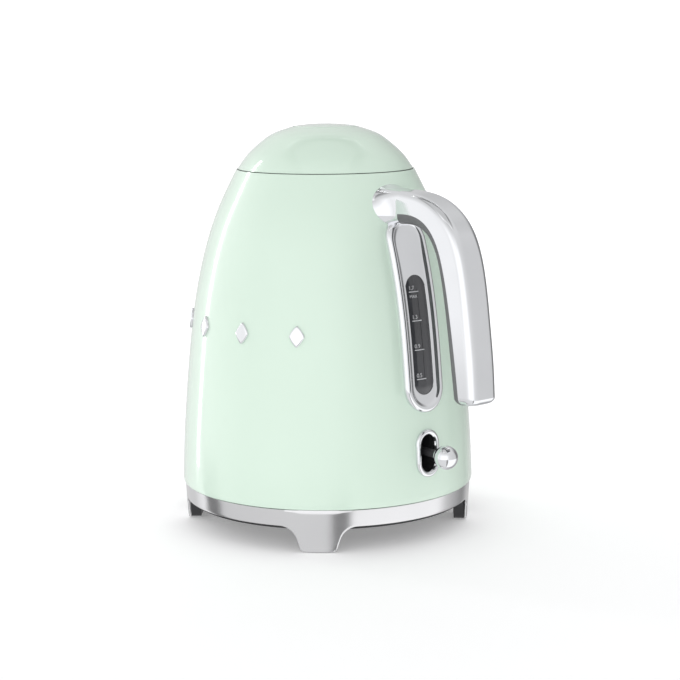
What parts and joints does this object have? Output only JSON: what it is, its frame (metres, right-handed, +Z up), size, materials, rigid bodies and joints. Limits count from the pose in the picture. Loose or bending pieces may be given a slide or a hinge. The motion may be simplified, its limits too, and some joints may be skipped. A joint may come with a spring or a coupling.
{
  "type": "cordless electric kettle",
  "caption": "Domed retro cordless kettle on a round power base, with bow handle, level window, ball switch lever, hinged lid and push button.",
  "frame": {"origin": "on the kettle's axis, at the level its feet stand on", "axes": "+Z up; +X towards the handle, level window and switch; -X towards the spout; +Y where the flex enters the base; trim studs on the side facing -Y"},
  "size_m": [0.2291, 0.1824, 0.248],
  "materials": {
    "mint_enamel": "gloss",
    "mint_plastic": "gloss",
    "chrome": "polished",
    "steel": "satin",
    "polished_steel": "polished",
    "black_plastic": "matt",
    "dark_plastic": "satin",
    "grey_plastic": "satin",
    "smoked_window": "clear",
    "white_print": "matt",
    "rubber": "matt",
    "silicone": "matt",
    "brass": "satin"
  },
  "bodies": {
    "power_base": {"base_skirt": "polished_steel", "base_tray": "black_plastic", "base_cover": "black_plastic", "foot_pads": "rubber", "base_screws": "steel", "base_connector": "black_plastic", "base_contacts": "brass", "cord_gland": "rubber", "glide_ring": "black_plastic"},
    "socket": {"socket_body": "black_plastic", "socket_prongs": "brass"},
    "kettle": {"body_shell": "mint_enamel", "spout": "mint_enamel", "filter_frame": "grey_plastic", "filter_mesh": "steel", "boiler_floor": "steel", "heating_element": "steel", "lower_housing": "black_plastic", "housing_screws": "steel", "thermostat": "black_plastic", "bimetal_disc": "steel", "steam_tube": "grey_plastic", "window_bezel": "chrome", "level_window": "smoked_window", "window_seal": "silicone", "gauge_marks": "white_print", "lever_bezel": "chrome", "lever_pocket": "black_plastic", "lever_pin": "steel", "handle_bow": "chrome", "handle_inner": "dark_plastic", "handle_root": "chrome", "handle_screws": "steel", "mouth_ring": "grey_plastic", "lid_catch": "steel", "hinge_bracket": "steel", "hinge_pin": "steel", "trim_studs": "chrome"},
    "lid": {"lid_dome": "mint_plastic", "lid_liner": "grey_plastic", "lid_seal": "silicone", "lid_screws": "steel", "button_spring": "steel"},
    "lid_button": {"button_cap": "mint_plastic"},
    "latch": {"lid_latch": "steel"},
    "switch_lever": {"lever_arm": "black_plastic", "lever_ball": "chrome"}
  },
  "joints": [
    {"name": "lift_off", "type": "slide", "parent": "power_base", "child": "socket", "axis": [0, 0, 1], "range_m": [0, 0.06]},
    {"name": "swivel", "type": "hinge", "parent": "socket", "child": "kettle", "pos_m": [0, 0, 0.03], "axis": [0, 0, 1], "continuous": true},
    {"name": "lid_hinge", "type": "hinge", "parent": "kettle", "child": "lid", "pos_m": [0.0465, 0, 0.2225], "axis": [0, 1, 0], "range_deg": [0, 80]},
    {"name": "lid_button", "type": "slide", "parent": "lid", "child": "lid_button", "axis": [0, 0, -1], "range_m": [0, 0.003], "stiffness_N_per_m": 400, "springref_m": -0.002, "deforming": ["button_spring"]},
    {"name": "latch_slide", "type": "slide", "parent": "lid", "child": "latch", "axis": [1, 0, 0], "range_m": [0, 0.003]},
    {"name": "switch", "type": "hinge", "parent": "kettle", "child": "switch_lever", "pos_m": [0.076, 0, 0.057], "axis": [0, 1, 0], "range_deg": [0, 18]}
  ],
  "couplings": [
    {"joint": "latch_slide", "follows": "lid_button", "ratio": 1}
  ]
}
